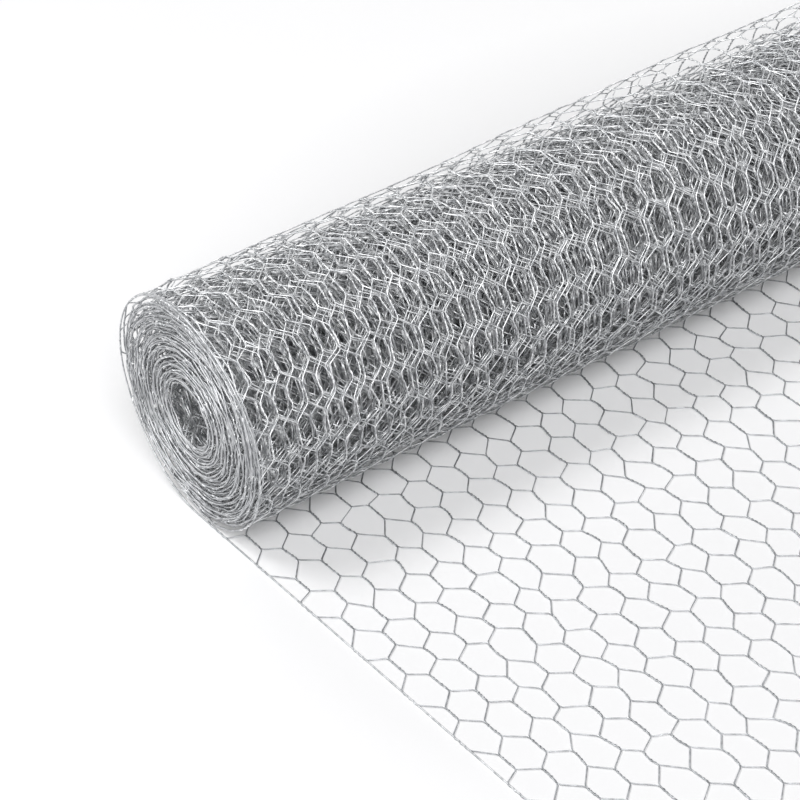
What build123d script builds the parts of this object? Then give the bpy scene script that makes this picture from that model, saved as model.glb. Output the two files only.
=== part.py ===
"""Roll of hexagonal wire netting, lying on the floor with its free end unrolled.

The netting is wound from galvanised wires that are twisted in pairs, so its meshes are hexagons with
two twisted sides.  The twists run along the length of the netting, and a thicker edge wire borders each
side.  The wound part is a turned solid, with ridges on its ends for its turns.  The unrolled tail is a
flat sheet with every mesh open.  The last turn is slack: its edge wires leave the floor under the roll,
pass behind and over it, and settle on it again low at the front.

Millimetres.  X is the axis of the roll, the tail lies towards -Y, and the floor is Z = 0.  The origin is
the centre of the footprint.
"""

import os
from math import atan2, degrees, hypot, sqrt

from build123d import *

# Netting
ROLL_WIDTH = 900.0  # stock width of the netting, over its edge wires
MESH_WIDTH = 25.0  # nominal, between the twisted sides of one mesh
MESH_PITCH = 60.0  # nominal, from one twist to the next along the netting
TWIST_LENGTH = 18.4
WIRE_DIAMETER = 0.9
EDGE_WIRE_DIAMETER = 1.2
EDGE_WIRE_SIDES = 8  # flats that stand for its round section

# Wound part
BORE_DIAMETER = 48.0
TURNS = 40  # 15 m of netting in all, with the slack turn and the tail
TURN_PITCH = 1.586  # what one turn adds to the radius
TURNS_PER_RIDGE = 2  # on the ends one ridge stands for this many turns
RIDGE_HEIGHT = 2.0  # how far a ridge stands out at the ends
SLACK_HEIGHT = 11.5  # how far the last turn stands off above the roll

# Unrolled tail
TAIL_LENGTH = 540.0
TAIL_BEHIND_AXIS = 9.8  # the tail reaches this far behind the line that the roll rests on
TAIL_STRIPS = 4

# Clearances
REST_CLEARANCE = 0.1  # between the roll and the tail that it lies on
EDGE_CLEARANCE = 0.02  # between an edge wire and the netting that it borders
SEAT_CLEARANCE = 0.3  # where the last turn settles on the roll

# The meshes fill the width and the length exactly
edge_radius = EDGE_WIRE_DIAMETER / 2
netting_width = ROLL_WIDTH - 2 * (EDGE_WIRE_DIAMETER + EDGE_CLEARANCE)
meshes_across = max(TAIL_STRIPS, round(netting_width / MESH_WIDTH))
mesh_width = netting_width / meshes_across
mesh_rows = max(1, round(TAIL_LENGTH / MESH_PITCH))
mesh_pitch = TAIL_LENGTH / mesh_rows
twist_width = 2 * WIRE_DIAMETER
sheet_thickness = twist_width

# The roll lies on its tail
bore_radius = BORE_DIAMETER / 2
roll_radius = bore_radius + TURNS * TURN_PITCH
roll_axis_z = sheet_thickness + REST_CLEARANCE + roll_radius

# The slack turn is a larger circle that starts on the floor and closes on the roll low at the front
wire_z = sheet_thickness / 2
slack_top = roll_axis_z + roll_radius + SLACK_HEIGHT
slack_radius = (slack_top - edge_radius - wire_z) / 2
slack_axis_z = wire_z + slack_radius
seat_offset = slack_radius - edge_radius - SEAT_CLEARANCE - roll_radius
slack_rise = slack_axis_z - roll_axis_z
slack_back = sqrt(max(seat_offset**2 - slack_rise**2, 0.0))

# The footprint is centred on the origin
reach_front = TAIL_LENGTH - TAIL_BEHIND_AXIS
reach_back = slack_back + slack_radius + edge_radius
roll_axis_y = (reach_front - reach_back) / 2
tail_back_y = roll_axis_y + TAIL_BEHIND_AXIS
tail_middle_y = tail_back_y - TAIL_LENGTH / 2


def open_mesh():
    """The hexagon of one open mesh, inside its two twisted and four single wires."""
    half_twist = TWIST_LENGTH / 2
    rise = mesh_pitch / 2 - TWIST_LENGTH
    run = mesh_width / 2
    side = run - twist_width / 2
    wire_drop = (WIRE_DIAMETER / 2) * hypot(run, rise) / run
    tip = half_twist + rise - wire_drop
    shoulder = tip - rise * side / run
    right = [(0, tip), (side, shoulder), (side, -shoulder), (0, -tip)]
    left = [(-side, -shoulder), (-side, shoulder)]
    with BuildSketch(Plane.XY) as mesh:
        with BuildLine():
            Polyline(right + left, close=True)
        make_face()
    return mesh.sketch


def netting_tail(first_mesh, last_mesh):
    """A strip of the flat tail, from one mesh column to another, cut along the middle of its twists."""
    columns = last_mesh - first_mesh
    width = columns * mesh_width
    middle_x = (first_mesh + last_mesh) / 2 * mesh_width - netting_width / 2
    mesh = open_mesh()
    with BuildPart() as strip:
        with BuildSketch(Plane.XY):
            with Locations((middle_x, tail_middle_y)):
                Rectangle(width, TAIL_LENGTH)
                with GridLocations(mesh_width, mesh_pitch, columns, mesh_rows):
                    add(mesh, mode=Mode.SUBTRACT)
                with GridLocations(mesh_width, mesh_pitch, columns + 1, mesh_rows + 1):
                    add(mesh, mode=Mode.SUBTRACT)
        extrude(amount=sheet_thickness)
    return strip


def netting_roll():
    """The wound turns, turned about the roll's axis, with ridges for its turns on both ends."""
    half_width = ROLL_WIDTH / 2
    valley = half_width - RIDGE_HEIGHT
    ridges = max(1, round(TURNS / TURNS_PER_RIDGE))
    ridge_pitch = TURNS * TURN_PITCH / ridges
    right_end = [(valley, bore_radius)]
    for ridge in range(ridges):
        inner = bore_radius + ridge * ridge_pitch
        right_end += [(half_width, inner + ridge_pitch / 2), (valley, inner + ridge_pitch)]
    left_end = [(-x, r) for x, r in reversed(right_end)]
    axis_plane = Plane(origin=(0, roll_axis_y, roll_axis_z), x_dir=(1, 0, 0), z_dir=(0, -1, 0))
    with BuildPart() as roll:
        with BuildSketch(axis_plane):
            with BuildLine():
                Polyline(right_end + left_end, close=True)
            make_face()
        revolve(axis=Axis((0, roll_axis_y, roll_axis_z), (1, 0, 0)))
    return roll


def edge_wire(side):
    """One edge wire: along the tail, then round the slack turn.  side is -1 or 1."""
    x = side * (ROLL_WIDTH / 2 - edge_radius)
    slack_axis_y = roll_axis_y + slack_back
    cut_y = tail_back_y - TAIL_LENGTH
    turned = 360 - degrees(atan2(slack_back, slack_rise))
    with BuildPart() as wire:
        with BuildSketch(Plane(origin=(x, cut_y, wire_z), z_dir=(0, 1, 0))):
            RegularPolygon(edge_radius, EDGE_WIRE_SIDES)
        extrude(amount=slack_axis_y - cut_y)
        with BuildSketch(Plane(origin=(x, slack_axis_y, wire_z), z_dir=(0, 1, 0))):
            RegularPolygon(edge_radius, EDGE_WIRE_SIDES)
        revolve(axis=Axis((x, slack_axis_y, slack_axis_z), (1, 0, 0)), revolution_arc=turned)
    return wire


def write(piece, label):
    """Labels a piece and writes it as a STEP file."""
    piece.part.label = label
    export_step(piece.part, f"parts/{label}.step")
    print(label, f"{piece.part.volume:.0f} mm3", len(piece.part.solids()), "solid")


os.makedirs("parts", exist_ok=True)
write(netting_roll(), "netting_roll")
for strip in range(TAIL_STRIPS):
    first = strip * meshes_across // TAIL_STRIPS
    last = (strip + 1) * meshes_across // TAIL_STRIPS
    write(netting_tail(first, last), f"netting_tail_{strip + 1}")
write(edge_wire(-1), "edge_wire_near")
write(edge_wire(1), "edge_wire_far")
print("roll axis", roll_axis_y, roll_axis_z)
print("roll diameter", 2 * roll_radius, "height", slack_top, "depth", reach_front + reach_back)
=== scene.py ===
# %% [markdown]
# # A roll of hexagonal wire netting
#
# The netting is woven from galvanised wires that are twisted together in pairs, so its meshes are
# hexagons. A thicker edge wire runs along each side. The roll lies on its own free end, which is
# unrolled flat on the floor.
#
# The CAD model gives the sizes: a turned roll, a flat tail and the two edge wires. This lesson weaves
# the real netting in the same places. One small patch of weave is made flat, repeated into long flat
# strips, and then every strip is wound onto one path: along the floor, once round the roll as a slack
# turn, and inwards in a spiral to the bore.

# %% Load the frame
from math import atan2, pi, radians, sin

import bmesh
import bpy
import numpy as np
from mathutils import Matrix, Vector


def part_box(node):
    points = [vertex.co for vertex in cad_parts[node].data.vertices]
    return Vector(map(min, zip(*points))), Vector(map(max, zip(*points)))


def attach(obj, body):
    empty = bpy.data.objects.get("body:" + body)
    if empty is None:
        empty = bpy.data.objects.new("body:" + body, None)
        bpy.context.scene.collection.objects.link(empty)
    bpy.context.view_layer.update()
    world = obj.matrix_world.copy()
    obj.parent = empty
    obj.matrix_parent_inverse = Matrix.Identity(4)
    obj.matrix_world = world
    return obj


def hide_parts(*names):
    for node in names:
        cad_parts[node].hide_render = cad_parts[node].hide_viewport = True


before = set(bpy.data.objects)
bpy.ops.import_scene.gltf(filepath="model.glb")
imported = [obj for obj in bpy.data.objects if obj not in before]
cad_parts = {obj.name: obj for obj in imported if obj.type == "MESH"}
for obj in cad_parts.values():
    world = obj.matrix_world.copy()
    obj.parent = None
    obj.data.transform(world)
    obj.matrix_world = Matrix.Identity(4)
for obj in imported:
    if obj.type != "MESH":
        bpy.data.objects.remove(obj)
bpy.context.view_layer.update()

# %% [markdown]
# ## Sizes
#
# Everything is in metres. What the CAD model knows is read from its nodes, so that the netting always
# lies where the solids are. The sizes of the weave itself are written here, each once.

# %% Sizes of the roll, from the CAD nodes
MM = 0.001
roll_low, roll_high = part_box("netting_roll")
edge_low, edge_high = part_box("edge_wire_near")
first_low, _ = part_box("netting_tail_1")
_, last_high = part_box("netting_tail_4")

roll_radius = (roll_high[2] - roll_low[2]) / 2
roll_axis = Vector((0, (roll_low[1] + roll_high[1]) / 2, (roll_low[2] + roll_high[2]) / 2))
netting_left = first_low[0]
netting_width = last_high[0] - first_low[0]
tail_front = first_low[1]
tail_length = last_high[1] - first_low[1]
print("roll radius", roll_radius, "axis", roll_axis, "netting width", netting_width)

# %% Sizes of the weave
MESHES_ACROSS = 36
TAIL_ROWS = 9
TWIST_LENGTH = 18.4 * MM
EDGE_WRAP_TURNS = 3  # whole turns, so the wire comes back to the side it left
WIRE_RADIUS = 0.45 * MM
EDGE_WIRE_RADIUS = 0.6 * MM
EDGE_WRAP_RADIUS = 0.55 * MM  # from the middle of the edge wire to the middle of the wire wrapped on it

TURNS = 40
BORE_RADIUS = 24 * MM
LOCKED_TURNS = 7  # the outer turns, which lie tight with their meshes in step
LOCKED_PITCH = 1.1 * MM  # what one of them adds to the radius
ROWS_PER_TURN = 19  # half meshes in one locked turn: an odd number, so the twists lie side by side
DRIFT = 1.5 * MM  # how far the meshes of each turn lie to one side of those of the turn before
LOOSE_TURNS = 3  # in which the slack of the last turn closes

mesh_width = netting_width / MESHES_ACROSS
mesh_pitch = tail_length / TAIL_ROWS
half_pitch = mesh_pitch / 2
edge_x = netting_width / 2 - WIRE_RADIUS + EDGE_WRAP_RADIUS
print("mesh", mesh_width, mesh_pitch, "edge wire at", edge_x)

# %% [markdown]
# ## The path that the netting follows
#
# Seen from the end of the roll, the netting is one long line. It starts at the cut end of the tail, runs
# flat to the foot of the slack turn, goes up behind the roll and over it in a circle a little larger
# than the roll, settles on the roll low at the front, and winds inwards. A place along the netting is
# its distance from the cut end, so a strip that is woven flat only has to be carried from
# (across, along, above) to the matching place on the path.
#
# The slack turn follows the circle of the CAD model's edge wires up behind the roll and over it. Past
# the top its own weight lays it nearly on the roll. The spiral is a table of radius against angle,
# summed up into length, which np.interp reads backwards.

# %% The slack turn
slack_radius = (edge_high[2] - edge_low[2]) / 2 - EDGE_WIRE_RADIUS
slack_axis = Vector((0, edge_high[1] - EDGE_WIRE_RADIUS - slack_radius, (edge_high[2] + edge_low[2]) / 2))
offset = slack_axis - roll_axis
seat_turn = 2 * pi - atan2(offset.y, offset.z)
seat_radius = slack_radius - offset.length
slack_start = slack_axis.y - tail_front
slack_end = slack_start + slack_radius * seat_turn
SAG_START, SAG_END = pi - 0.3, pi + 0.8  # past the top, where the slack turn comes to lie on the roll
SAG = 0.75  # the share of its gap that it loses there

# %% The spiral
SETTLE = 0.15  # radians in which the slack turn comes down onto the wound turns
SLACK_KEPT = 0.8  # the share of the slack turn's offset that is left in the turns under it
SPIRAL_POINTS = 20000
outer_radius = roll_radius - 2 * WIRE_RADIUS
inner_radius = BORE_RADIUS + 2 * WIRE_RADIUS
locked_radius = outer_radius - LOCKED_TURNS * LOCKED_PITCH
wound = np.linspace(0, 2 * pi * TURNS, SPIRAL_POINTS)
turn_marks = [0, 2 * pi * LOCKED_TURNS, wound[-1]]
wound_radius = np.interp(wound, turn_marks, [outer_radius, locked_radius, inner_radius])
wound_radius += (seat_radius - outer_radius) * np.exp(-wound / SETTLE)
slack_left = SLACK_KEPT * np.clip(1 - wound / (2 * pi * LOOSE_TURNS), 0, 1) ** 2
wound_radius += slack_left * offset.length * (1 - np.cos(wound))

# All locked turns take up the same length of netting, so their meshes stay in step
locked_pattern = ROWS_PER_TURN * half_pitch / (2 * pi)
pattern_radius = np.where(wound < 2 * pi * LOCKED_TURNS, locked_pattern, wound_radius)
wound_length = np.append(0, np.cumsum((pattern_radius[1:] + pattern_radius[:-1]) / 2 * np.diff(wound)))
netting_rows = int((slack_end + wound_length[-1]) / mesh_pitch)
print("slack turn ends at", slack_end, "rows of mesh in all", netting_rows)


def ease(value, start, end):
    """0 before start, 1 after end, and smooth between them."""
    t = np.clip((value - start) / (end - start), 0, 1)
    return t * t * (3 - 2 * t)


def path(along):
    """Depth and height of the netting's middle, and how far it has turned, at a distance along it."""
    turned = np.clip(along - slack_start, 0, slack_end - slack_start) / slack_radius
    flat_y = tail_front + np.minimum(along, slack_start)
    y = flat_y + slack_radius * np.sin(turned)
    z = slack_axis.z - slack_radius * np.cos(turned)
    reach = np.hypot(y - roll_axis.y, z - roll_axis.z)
    kept = 1 - SAG * ease(turned, SAG_START, SAG_END) * (1 - seat_radius / reach)
    y = roll_axis.y + (y - roll_axis.y) * kept
    z = roll_axis.z + (z - roll_axis.z) * kept
    wind = np.interp(along - slack_end, wound_length, wound)
    radius = np.interp(wind, wound, wound_radius)
    angle = seat_turn + wind
    on_roll = along > slack_end
    y = np.where(on_roll, roll_axis.y + radius * np.sin(angle), y)
    z = np.where(on_roll, roll_axis.z - radius * np.cos(angle), z)
    return y, z, np.where(on_roll, angle, turned)


# %% [markdown]
# ## How handling has bent the netting
#
# Netting never keeps its machine-made pattern. Its meshes are pulled a little wide or long, its edges
# wander in and out from turn to turn, and its turns don't lie on each other evenly. Sums of a few sine
# waves with seeded phases give such smooth changes, and they are the same in every run.

# %% Waves
WAVES_IN_A_SET = 6


def waves(seed, height, length, across, along):
    """A smooth field that swings about zero, with waves of about the given height and length."""
    dice = np.random.default_rng(seed)
    total = np.zeros_like(along)
    for _ in range(WAVES_IN_A_SET):
        heading = dice.uniform(0, pi)
        number = 2 * pi / (length * dice.uniform(0.7, 1.4))
        run = across * np.cos(heading) + along * np.sin(heading)
        total += np.sin(number * run + dice.uniform(0, 2 * pi))
    return height * total / (WAVES_IN_A_SET / 2) ** 0.5


def wave_sum(sets, across, along):
    """Several sets of waves on top of each other, each given by its seed, height and length."""
    return sum(waves(*one_set, across, along) for one_set in sets)


# %% [markdown]
# Four things happen to the netting.
#
# - It is pulled in its own plane, in short waves where it lies flat and in longer ones where it is wound.
#   Its edges stay straight, because the edge wires hold them. In the locked turns the meshes of each turn
#   also lie a little to one side of those before, which draws sheaves of parallel twists over the roll.
# - Its edges stand in from the ends of the roll, each turn by its own amount, and the last turns a little
#   more.
# - It lifts off its path. The slack turn stands off less at its near end, which somebody has pulled tight.
# - Towards the far end the wound turns lie lower, above and behind, so the slack turn stands off them as an
#   open fringe.

# %% Pulled in its own plane
# Each set of waves has a seed, a height and a length
SHORT_SIDEWAYS = (1, 1.1 * MM, 60 * MM), (2, 0.6 * MM, 30 * MM)
LONG_SIDEWAYS = 13, 1.5 * MM, 300 * MM
SHORT_LENGTHWAYS = (3, 1.5 * MM, 70 * MM), (4, 0.8 * MM, 32 * MM)
LONG_LENGTHWAYS = 5, 1.5 * MM, 400 * MM
EDGE_HOLDS = 2.5  # mesh widths over which the edge wire keeps the netting straight
PATTERN_CHANGE = 8  # mesh rows before the slack turn's end over which flat waves turn into wound ones


def turns_wound(along):
    """How many locked turns of netting lie between the end of the slack turn and a place."""
    return (along - slack_end) / (ROWS_PER_TURN * half_pitch)


def pulled(across, along):
    """How far the netting is pulled sideways and lengthways in its own plane."""
    inside = ease(netting_width / 2 - np.abs(across), 0, EDGE_HOLDS * mesh_width)
    past_cut = ease(along, 0, mesh_pitch)
    rolled = ease(along, slack_end - PATTERN_CHANGE * mesh_pitch, slack_end)
    turns = turns_wound(along)
    drift = DRIFT * (turns - LOCKED_TURNS / 2) * ease(turns, -0.5, 0.3)
    drift *= 1 - ease(turns, LOCKED_TURNS, LOCKED_TURNS + 3)
    sideways = wave_sum(SHORT_SIDEWAYS, across, along) * (1 - 0.5 * rolled)
    sideways += rolled * waves(*LONG_SIDEWAYS, across, along)
    sideways += drift
    lengthways = wave_sum(SHORT_LENGTHWAYS, across, along) * (1 - 0.3 * rolled)
    lengthways += waves(*LONG_LENGTHWAYS, across, along)
    return sideways * inside, lengthways * past_cut


# %% In from the ends
NEAR_EDGE_SEED, FAR_EDGE_SEED = 6, 8
# Here the seeds count from that of the edge
EDGE_WAVES = (0, 1.3 * MM, 330 * MM), (1, 0.7 * MM, 70 * MM), (20, 0.55 * MM, 26 * MM)
STANDS_IN, MOST_IN = 2.0 * MM, 9 * MM
LAST_TURNS_IN = 2.5 * MM  # how much further in the last turns stand
LAST_TURNS_FADE = 1.5  # metres of netting over which that fades
EDGE_CHANGE = 4  # mesh rows before the slack turn's end over which its edges leave the ends of the roll


def stands_in(seed, along):
    """How far one edge of the netting stands in from the end of the roll."""
    straight = np.zeros_like(along)
    last_turns = LAST_TURNS_IN * np.exp(-np.maximum(along - slack_end, 0) / LAST_TURNS_FADE)
    edge_waves = [(seed + step, height, length) for step, height, length in EDGE_WAVES]
    wander = wave_sum(edge_waves, straight, along)
    return np.clip(STANDS_IN + last_turns + wander, 0, MOST_IN)


# %% Off its path
ON_FLOOR = 0.15 * MM
TIGHTER = 1.4 * MM  # how much closer the slack turn lies than the CAD model's edge wires
TIGHTER_NEAR = 5.0 * MM  # what the pull at its near end adds
LEAST_TIGHTER = 0.35 * MM  # which keeps it inside them
SLACK_WAVES = 10, 0.9 * MM, 150 * MM
WOUND_WAVES = (11, 0.5 * MM, 45 * MM), (12, 0.5 * MM, 160 * MM), (14, 0.25 * MM, 20 * MM)


def lifted(across, along):
    """How far the netting lies above its path; on the roll above is towards the axis."""
    near = 0.5 - across / netting_width
    slack = ease(along, slack_start, slack_start + 2 * mesh_pitch)
    slack *= 1 - ease((along - slack_start) / slack_radius, SAG_START, SAG_END)
    tighter = TIGHTER + TIGHTER_NEAR * ease(near, 0.2, 1.0) + waves(*SLACK_WAVES, across, along)
    uneven = ease(along, slack_end, slack_end + mesh_pitch) * wave_sum(WOUND_WAVES, across, along)
    return ON_FLOOR + slack * np.maximum(tighter, LEAST_TIGHTER) + uneven


# %% Lower towards the far end
SINK = 9 * MM
SINK_SIDE = 2.4  # radians from the floor, up behind the roll, to where its turns lie lowest
SINK_TURNS = 4, 22  # the turns over which it fades towards the bore


def sunk(across, along, turned):
    """How far the wound turns lie below the slack one, which is most at the far end."""
    turns = turns_wound(along)
    far = ease(across / netting_width, -0.5, 0.1)
    side = ((1 + np.cos(turned - SINK_SIDE)) / 2) ** 2
    return SINK * far * side * (turns > 0) * (1 - ease(turns, *SINK_TURNS))


# %% Wind a mesh onto the path
def wind(mesh):
    """Carries a mesh that was made flat onto the path, with what handling did to it."""
    flat = np.empty(len(mesh.vertices) * 3)
    mesh.vertices.foreach_get("co", flat)
    across, along, above = flat.reshape(-1, 3).T
    near = 0.5 - across / netting_width
    rolled = ease(along, slack_end - EDGE_CHANGE * mesh_pitch, slack_end)
    sideways, lengthways = pulled(across, along)
    near_edge, far_edge = stands_in(NEAR_EDGE_SEED, along), stands_in(FAR_EDGE_SEED, along)
    sideways += rolled * (near * near_edge - (1 - near) * far_edge)
    y, z, turned = path(along + lengthways)
    above = above + lifted(across, along) + sunk(across, along, turned)
    y, z = y - above * np.sin(turned), z + above * np.cos(turned)
    mesh.vertices.foreach_set("co", np.column_stack((across + sideways, y, z)).ravel())
    mesh.update()


# %% [markdown]
# ## Wires
#
# Two wires leave a twist side by side, bend apart, and meet a neighbour at the next twist. A bent wire is
# a small ring of vertices that is extruded from place to place, turned to face the way it goes. The two
# strands of a twist are rings that Spin carries round each other while it moves them along, which is how
# the weaving machine makes them. Spin with no angle at all only moves things along, so it also repeats
# a patch of weave in a row.
#
# With so few sides a section would look thinner than the round wire, so its corners stand out a little
# past the wire's radius, and its outline is as long as the wire's.

# %% Wire helpers
def ring(bm, place, sides, radius, heading=0.0):
    """A ring of vertices that faces along the netting, turned towards its heading."""
    corner_radius = radius * (pi / sides) / sin(pi / sides)
    turn = Matrix.Rotation(-heading, 4, "Z") @ Matrix.Rotation(pi / 2, 4, "X")
    matrix = Matrix.Translation(place) @ turn
    return bmesh.ops.create_circle(bm, segments=sides, radius=corner_radius, matrix=matrix)["verts"]


def rim_of(verts):
    """The edges that join the vertices of a ring."""
    return list({e for v in verts for e in v.link_edges if e.other_vert(v) in verts})


def bent_wire(bm, places, headings, sides, radius):
    """One wire through the places, its section facing the heading at each."""
    verts = ring(bm, places[0], sides, radius, headings[0])
    for i in range(1, len(places)):
        grown = bmesh.ops.extrude_edge_only(bm, edges=rim_of(verts))["geom"]
        verts = [v for v in grown if isinstance(v, bmesh.types.BMVert)]
        bend = Matrix.Rotation(headings[i - 1] - headings[i], 3, "Z")
        bmesh.ops.rotate(bm, verts=verts, cent=places[i - 1], matrix=bend)
        bmesh.ops.translate(bm, verts=verts, vec=Vector(places[i]) - Vector(places[i - 1]))


def spin_along(bm, geom, middle, turns, length, steps):
    """Spins a ring round a line along the netting while it moves, which draws a wrapped wire."""
    bmesh.ops.spin(
        bm, geom=geom, cent=middle, axis=(0, 1, 0), dvec=(0, length / steps, 0), angle=2 * pi * turns,
        steps=steps, use_merge=False, use_normal_flip=False, use_duplicate=False,
    )


def strand(bm, middle, side, turns, steps, sides, wrap_radius=WIRE_RADIUS):
    """One strand of a twist, wrapped round the twist's middle line."""
    start = Vector(middle) + Vector((side * wrap_radius, -TWIST_LENGTH / 2, 0))
    verts = ring(bm, start, sides, WIRE_RADIUS)
    spin_along(bm, verts + rim_of(verts), middle, turns, TWIST_LENGTH, steps)


def repeat(bm, geom, step, count):
    """Repeats part of a mesh in a row: Spin with no angle only moves its copies along."""
    bmesh.ops.spin(
        bm, geom=geom, cent=(0, 0, 0), axis=(0, 0, 1), dvec=step, angle=0, steps=count - 1,
        use_merge=False, use_normal_flip=False, use_duplicate=True,
    )


def everything(bm):
    """All that the mesh holds so far."""
    return bm.verts[:] + bm.edges[:] + bm.faces[:]


def close_ends(bm):
    """Closes every open end of a wire with one face."""
    bmesh.ops.holes_fill(bm, edges=[e for e in bm.edges if e.is_boundary], sides=0)


def piece_from(bm, name):
    """Winds a flat bmesh onto the path and makes it a piece of the scene."""
    bmesh.ops.recalc_face_normals(bm, faces=bm.faces)
    mesh = bpy.data.meshes.new(name)
    bm.to_mesh(mesh)
    bm.free()
    wind(mesh)
    mesh.shade_smooth()
    piece = bpy.data.objects.new(name, mesh)
    bpy.context.scene.collection.objects.link(piece)
    triangles = sum(len(p.vertices) - 2 for p in mesh.polygons)
    print(name, len(mesh.vertices), "vertices", triangles, "triangles")
    return piece


# %% [markdown]
# ## A strip of netting
#
# One patch of the weave holds a twist on the half column, the four single wires that meet there, and a
# twist on the full column. Repeated across and along, it makes the whole strip. The outermost columns
# have no second wire to twist with, so there the wire is wrapped round the edge wire instead. Where the
# rings of two wires meet they are merged, so each wire runs through the strip in one piece.
#
# Inside the roll the wires are straight and only touch at the twists, and deepest of all a twist is a
# single bar, with a fraction of the faces.

# %% Patches of weave
half_twist = TWIST_LENGTH / 2
half_mesh = mesh_width / 2
BEND_LENGTH = 1.3 * MM  # in which a wire turns away from its twist
BEND_RUN = 0.78 * MM  # how far it has moved sideways by then
BAR_RADIUS = 0.5 * MM
BAR_WIDTH = 1.7  # a bar stands for two wires side by side, so it is wider than thick


def single_wire(bm, start, end, detail):
    """The single wire from the top of one twist to the foot of the next."""
    side = 1 if end[0] > start[0] else -1
    heading = side * atan2(abs(end[0] - start[0]), end[1] - start[1])
    if not detail["joined"]:
        bent_wire(bm, [start, end], [heading, heading], detail["sides"], WIRE_RADIUS)
        return
    near = (start[0] + side * BEND_RUN, start[1] + BEND_LENGTH, 0)
    far = (end[0] - side * BEND_RUN, end[1] - BEND_LENGTH, 0)
    bent_wire(bm, [start, near, far, end], [0, heading, heading, 0], detail["sides"], WIRE_RADIUS)


def twist(bm, middle, detail):
    """A twist of two wires, or far inside the roll one flat bar."""
    if detail["strands"] == 2:
        for side in (-1, 1):
            strand(bm, middle, side, detail["turns"], detail["steps"], detail["sides"])
        return
    verts = ring(bm, (middle[0], middle[1] - half_twist, 0), detail["sides"], BAR_RADIUS)
    bmesh.ops.scale(bm, verts=verts, vec=(BAR_WIDTH, 1, 1), space=Matrix.Translation((-middle[0], 0, 0)))
    spin_along(bm, verts + rim_of(verts), middle, 0, TWIST_LENGTH, 1)


def half_column(bm, detail):
    """The twist between two full columns, and the four single wires that meet there."""
    r = WIRE_RADIUS
    top, next_foot = half_twist, half_pitch - half_twist
    next_top, last_foot = half_pitch + half_twist, mesh_pitch - half_twist
    twist(bm, (half_mesh, 0, 0), detail)
    single_wire(bm, (half_mesh + r, top, 0), (mesh_width - r, next_foot, 0), detail)
    single_wire(bm, (half_mesh - r, top, 0), (r, next_foot, 0), detail)
    single_wire(bm, (r, next_top, 0), (half_mesh - r, last_foot, 0), detail)
    single_wire(bm, (mesh_width - r, next_top, 0), (half_mesh + r, last_foot, 0), detail)


def edge_wraps(bm, detail):
    """Where the outermost wires are wrapped round the two edge wires."""
    steps = 4 * EDGE_WRAP_TURNS
    left = WIRE_RADIUS - EDGE_WRAP_RADIUS
    right = MESHES_ACROSS * mesh_width - left
    strand(bm, (left, half_pitch, 0), 1, EDGE_WRAP_TURNS, steps, detail["sides"], EDGE_WRAP_RADIUS)
    strand(bm, (right, half_pitch, 0), -1, EDGE_WRAP_TURNS, steps, detail["sides"], EDGE_WRAP_RADIUS)


# %% A strip
MERGE_DISTANCE = 0.01 * MM


def netting(name, first_row, rows, detail):
    """A strip of netting over its full width, wound onto the path."""
    bm = bmesh.new()
    half_column(bm, detail)
    if not detail["joined"]:
        close_ends(bm)
    repeat(bm, everything(bm), (mesh_width, 0, 0), MESHES_ACROSS)
    made_before = set(bm.verts)
    twist(bm, (mesh_width, half_pitch, 0), detail)
    if not detail["joined"]:
        close_ends(bm)
    verts = [v for v in bm.verts if v not in made_before]
    edges = {e for v in verts for e in v.link_edges}
    faces = {f for v in verts for f in v.link_faces}
    repeat(bm, verts + list(edges) + list(faces), (mesh_width, 0, 0), MESHES_ACROSS - 1)
    edge_wraps(bm, detail)
    repeat(bm, everything(bm), (0, mesh_pitch, 0), rows)
    bmesh.ops.translate(bm, verts=bm.verts, vec=(netting_left, first_row * mesh_pitch, 0))
    if detail["joined"]:
        bmesh.ops.remove_doubles(bm, verts=bm.verts, dist=MERGE_DISTANCE)
    if first_row == 0:
        # The tail was cut off through a row of twists
        bmesh.ops.bisect_plane(
            bm, geom=everything(bm), plane_co=(0, 0, 0), plane_no=(0, -1, 0), clear_outer=True,
        )
    close_ends(bm)
    return piece_from(bm, name)


# %% [markdown]
# The tail and the slack turn show every strand of every twist. The two turns under them have looser
# twists, the next four only cross their strands once, and the inner ones, which are seen through the
# meshes of all the others, have bars. So the whole netting stays under a million triangles. Each twist
# has an odd number of half turns, which takes each wire over to the other side.

# %% Weave the netting
FINE = {"strands": 2, "turns": 2.5, "steps": 8, "sides": 4, "joined": True}
LIGHT = {"strands": 2, "turns": 1.5, "steps": 6, "sides": 4, "joined": True}
PLAIN = {"strands": 2, "turns": 0.5, "steps": 3, "sides": 3, "joined": False}
BARE = {"strands": 1, "sides": 3, "joined": False}

SLACK_ROWS, OUTER_ROWS, NEXT_ROWS = 10, 18, 40
inner_rows = netting_rows - TAIL_ROWS - SLACK_ROWS - OUTER_ROWS - NEXT_ROWS
strip_plan = [
    ("netting_tail", TAIL_ROWS, FINE),
    ("netting_slack_turn", SLACK_ROWS, FINE),
    ("netting_outer_turns", OUTER_ROWS, LIGHT),
    ("netting_next_turns", NEXT_ROWS, PLAIN),
    ("netting_inner_turns_1", inner_rows // 2, BARE),
    ("netting_inner_turns_2", inner_rows - inner_rows // 2, BARE),
]
strips = {}
row = 0
for name, rows, detail in strip_plan:
    strips[name] = netting(name, row, rows, detail)
    row += rows

# %% [markdown]
# ## Edge wires
#
# Each edge wire is one round wire, as long as the netting. It is drawn straight along the edge, and then
# wound on the same path, so it always runs through the wraps. Its turns are the rings that the end of
# the roll shows.

# %% Edge wires
EDGE_SIDES = 5
EDGE_STEP = 7 * MM


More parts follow.
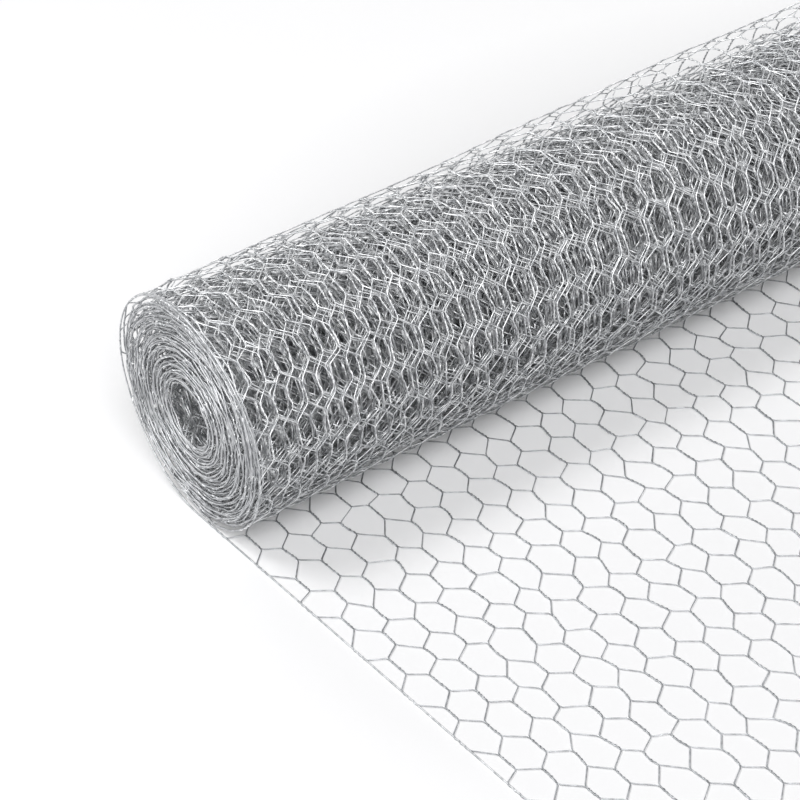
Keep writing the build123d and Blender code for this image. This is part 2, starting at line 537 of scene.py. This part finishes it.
def edge_wire(name, x):
    """One edge wire, straight and then wound with its netting."""
    length = netting_rows * mesh_pitch
    bm = bmesh.new()
    verts = ring(bm, (x, 0, 0), EDGE_SIDES, EDGE_WIRE_RADIUS)
    spin_along(bm, verts + rim_of(verts), (x, 0, 0), 0, length, int(length / EDGE_STEP))
    close_ends(bm)
    return piece_from(bm, name)


edge_near = edge_wire("edge_wire_near_wound", -edge_x)
edge_far = edge_wire("edge_wire_far_wound", edge_x)

# %% [markdown]
# ## Galvanised wire
#
# The wire is drawn steel, dipped in molten zinc once it is woven. The zinc is a pale metal with a soft
# sheen. Patches about half a centimetre long are brighter or duller, as the bath drained from them or
# left a thicker coat, and a fine grain breaks up the highlight on each wire.
#
# The flat tail is painted a darker grey than the netting on the roll: painted shade, on the same zinc.
# The edge wires are a little rougher, because the thicker wire carries more zinc, and their colours are
# painted a little darker than the netting's: painted shade that dims the glints on the ends of the roll.

# %% Materials
PATCH_SIZE = 5 * MM
GRAIN_SIZE, GRAIN_DEPTH = 1.5 * MM, 0.05 * MM


def linear(code):
    """An sRGB hex colour as linear red, green, blue and alpha."""
    parts = [int(code[i:i + 2], 16) / 255 for i in (0, 2, 4)]
    return tuple(c / 12.92 if c <= 0.04045 else ((c + 0.055) / 1.055) ** 2.4 for c in parts) + (1.0,)


def add_node(tree, kind, settings=None, links=None):
    """Adds one node, sets its properties and sockets, and links its inputs."""
    made = tree.nodes.new(kind)
    for key, value in (settings or {}).items():
        if isinstance(key, str) and hasattr(made, key):
            setattr(made, key, value)
        else:
            made.inputs[key].default_value = value
    for key, output in (links or {}).items():
        tree.links.new(output, made.inputs[key])
    return made


def galvanised(name, pale, dull, roughness):
    """Hot-dipped zinc: dull and pale patches, and a fine grain under a soft metallic sheen."""
    material = bpy.data.materials.new(name)
    material.use_nodes = True
    tree = material.node_tree
    tree.nodes.clear()
    place = add_node(tree, "ShaderNodeTexCoord").outputs["Object"]
    patch_noise = {"Scale": 1 / PATCH_SIZE, "Detail": 2.0}
    patches = add_node(tree, "ShaderNodeTexNoise", patch_noise, {"Vector": place})
    grain_noise = {"Scale": 1 / GRAIN_SIZE, "Detail": 2.0}
    grain = add_node(tree, "ShaderNodeTexNoise", grain_noise, {"Vector": place})
    tone = add_node(tree, "ShaderNodeValToRGB", links={"Fac": patches.outputs["Fac"]})
    tone.color_ramp.elements[0].position = 0.35
    tone.color_ramp.elements[0].color = linear(dull)
    tone.color_ramp.elements[1].position = 0.65
    tone.color_ramp.elements[1].color = linear(pale)
    relief = {"Strength": 0.3, "Distance": GRAIN_DEPTH}
    bump = add_node(tree, "ShaderNodeBump", relief, {"Height": grain.outputs["Fac"]})
    shader = add_node(
        tree, "ShaderNodeBsdfPrincipled", {"Metallic": 0.95, "Roughness": roughness},
        {"Base Color": tone.outputs["Color"], "Normal": bump.outputs["Normal"]},
    )
    add_node(tree, "ShaderNodeOutputMaterial", links={"Surface": shader.outputs["BSDF"]})
    return material


netting_zinc = galvanised("hot_dipped_galvanised_netting", "F4F5F6", "B0B2B5", 0.46)
# Painted shade: the tail's colours are the netting's zinc painted darker.
tail_zinc_painted_shade = galvanised("hot_dipped_galvanised_netting_painted_shade", "C0C2C5", "97999C", 0.46)
# Painted shade: the edge wires' colours are a little darker than the netting's, to dim the glints on the
# ends of the roll.
edge_zinc = galvanised("hot_dipped_galvanised_edge_wire", "D4D5D7", "A8AAAC", 0.5)

# %% [markdown]
# ## On the frame
#
# The netting and its edge wires are one piece of stock, so all of it rides the same body. The strips take
# the places of the CAD solids.

# %% Put the pieces on the frame
for name, piece in strips.items():
    piece.data.materials.append(tail_zinc_painted_shade if name == "netting_tail" else netting_zinc)
    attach(piece, "root")
for piece in (edge_near, edge_far):
    piece.data.materials.append(edge_zinc)
    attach(piece, "root")
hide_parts("netting_tail_1", "netting_tail_2", "netting_tail_3", "netting_tail_4")
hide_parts("netting_roll")
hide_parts("edge_wire_near")
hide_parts("edge_wire_far")

# %% [markdown]
# ## Floor, air and lamps
#
# The roll lies on white paper in a bright studio. For the camera and for reflections the paper glows a
# little, and more past the sheet, so that it is plain white there while the shadow of the roll stays on
# it. The air lights from all round at a low level, and is white where a camera or a reflection looks
# into it, because the zinc has to mirror the same white room that is seen behind it.
#
# A large lamp in front lights the side that is seen, from the top of the roll to its foot. It hangs higher
# than the camera, so that its shadow hides behind the roll. A smaller one overhead stands behind the roll
# and drops its soft shadow onto the tail. Both stand far off, so the light is even from end to end.

# %% Floor
FLOOR_SIZE = 6.0
SHEET_GLOW = 0.07
CLEAR_GLOW = 0.2  # past the sheet, where the paper is plain white
CLEAR_FROM, CLEAR_AT = 0.47, 0.63  # how far out the plain white begins and is reached


def camera_level(tree, low, high):
    """A value that is high where the camera or a reflection looks and low for all other light."""
    ray = add_node(tree, "ShaderNodeLightPath")
    looks = {0: ray.outputs["Is Camera Ray"], 1: ray.outputs["Is Glossy Ray"]}
    seen = add_node(tree, "ShaderNodeMath", {"operation": "MAXIMUM"}, looks).outputs["Value"]
    levels = {"To Min": low, "To Max": high}
    return add_node(tree, "ShaderNodeMapRange", levels, {"Value": seen}).outputs["Result"]


bm = bmesh.new()
bmesh.ops.create_grid(bm, x_segments=1, y_segments=1, size=FLOOR_SIZE)
floor_mesh = bpy.data.meshes.new("floor")
bm.to_mesh(floor_mesh)
bm.free()
floor = bpy.data.objects.new("floor", floor_mesh)
bpy.context.scene.collection.objects.link(floor)

white_paper = bpy.data.materials.new("matt_white_paper")
white_paper.use_nodes = True
tree = white_paper.node_tree
tree.nodes.clear()
paint = add_node(tree, "ShaderNodeBsdfDiffuse", {"Color": linear("F4F4F5")})
place = add_node(tree, "ShaderNodeTexCoord").outputs["Object"]
reach = add_node(tree, "ShaderNodeVectorMath", {"operation": "LENGTH"}, {0: place}).outputs["Value"]
clearing = {"From Min": CLEAR_FROM, "From Max": CLEAR_AT, "To Min": SHEET_GLOW, "To Max": CLEAR_GLOW}
whiteness = add_node(tree, "ShaderNodeMapRange", clearing, {"Value": reach}).outputs["Result"]
looked_at = camera_level(tree, 0.0, 1.0)
glow_level = add_node(tree, "ShaderNodeMath", {"operation": "MULTIPLY"}, {0: looked_at, 1: whiteness})
glow = add_node(tree, "ShaderNodeEmission", links={"Strength": glow_level.outputs["Value"]})
lights = {0: paint.outputs["BSDF"], 1: glow.outputs["Emission"]}
both = add_node(tree, "ShaderNodeAddShader", links=lights)
add_node(tree, "ShaderNodeOutputMaterial", links={"Surface": both.outputs["Shader"]})
floor_mesh.materials.append(white_paper)

# %% Air
AMBIENT = 0.15

world = bpy.data.worlds.new("studio")
bpy.context.scene.world = world
world.use_nodes = True
tree = world.node_tree
tree.nodes.clear()
level = camera_level(tree, AMBIENT, 1.0)
air = add_node(tree, "ShaderNodeBackground", {"Color": (1, 1, 1, 1)}, {"Strength": level})
add_node(tree, "ShaderNodeOutputWorld", links={"Surface": air.outputs["Background"]})

# %% Lamps
def softbox(name, place, target, size, watts):
    """A square lamp that faces its target."""
    lamp = bpy.data.lights.new(name, "AREA")
    lamp.shape = "SQUARE"
    lamp.size = size
    lamp.energy = watts
    holder = bpy.data.objects.new(name, lamp)
    holder.location = place
    holder.rotation_euler = (Vector(target) - Vector(place)).to_track_quat("-Z", "Y").to_euler()
    bpy.context.scene.collection.objects.link(holder)


LAMP_TARGET = (0, 0.1, 0.05)
softbox("overhead_softbox", (-2.0, 2.0, 4.4), LAMP_TARGET, 1.8, 96)
softbox("front_softbox", (-2.6, -3.4, 4.6), LAMP_TARGET, 3.5, 283)

# %% [markdown]
# ## Camera
#
# The camera was fitted to the crossings of the wires on the floor. It stands in front of the near end at
# about the height of a shoulder, turned so that the roll runs up and out of the picture on the right.

# %% Camera
CAMERA_PLACE = Vector((-1401.7, -1541.4, 1522.2)) * MM
CAMERA_TURN = (54.216, 3.664, -35.363)
SENSOR = 36.0
FOCAL_LENGTH = 3500 / 800 * SENSOR  # 3500 pixels in a picture 800 pixels wide

lens = bpy.data.cameras.new("camera")
lens.sensor_width = SENSOR
lens.lens = FOCAL_LENGTH
camera = bpy.data.objects.new("camera", lens)
camera.location = CAMERA_PLACE
camera.rotation_euler = [radians(a) for a in CAMERA_TURN]
bpy.context.scene.collection.objects.link(camera)
bpy.context.scene.camera = camera
bpy.context.scene.view_settings.view_transform = "Standard"

# %% [markdown]
# ## Finish
#
# The scene is brought up to date. The netting has to stay inside the box of the CAD
# solids.

# %% Finish
bpy.context.view_layer.update()
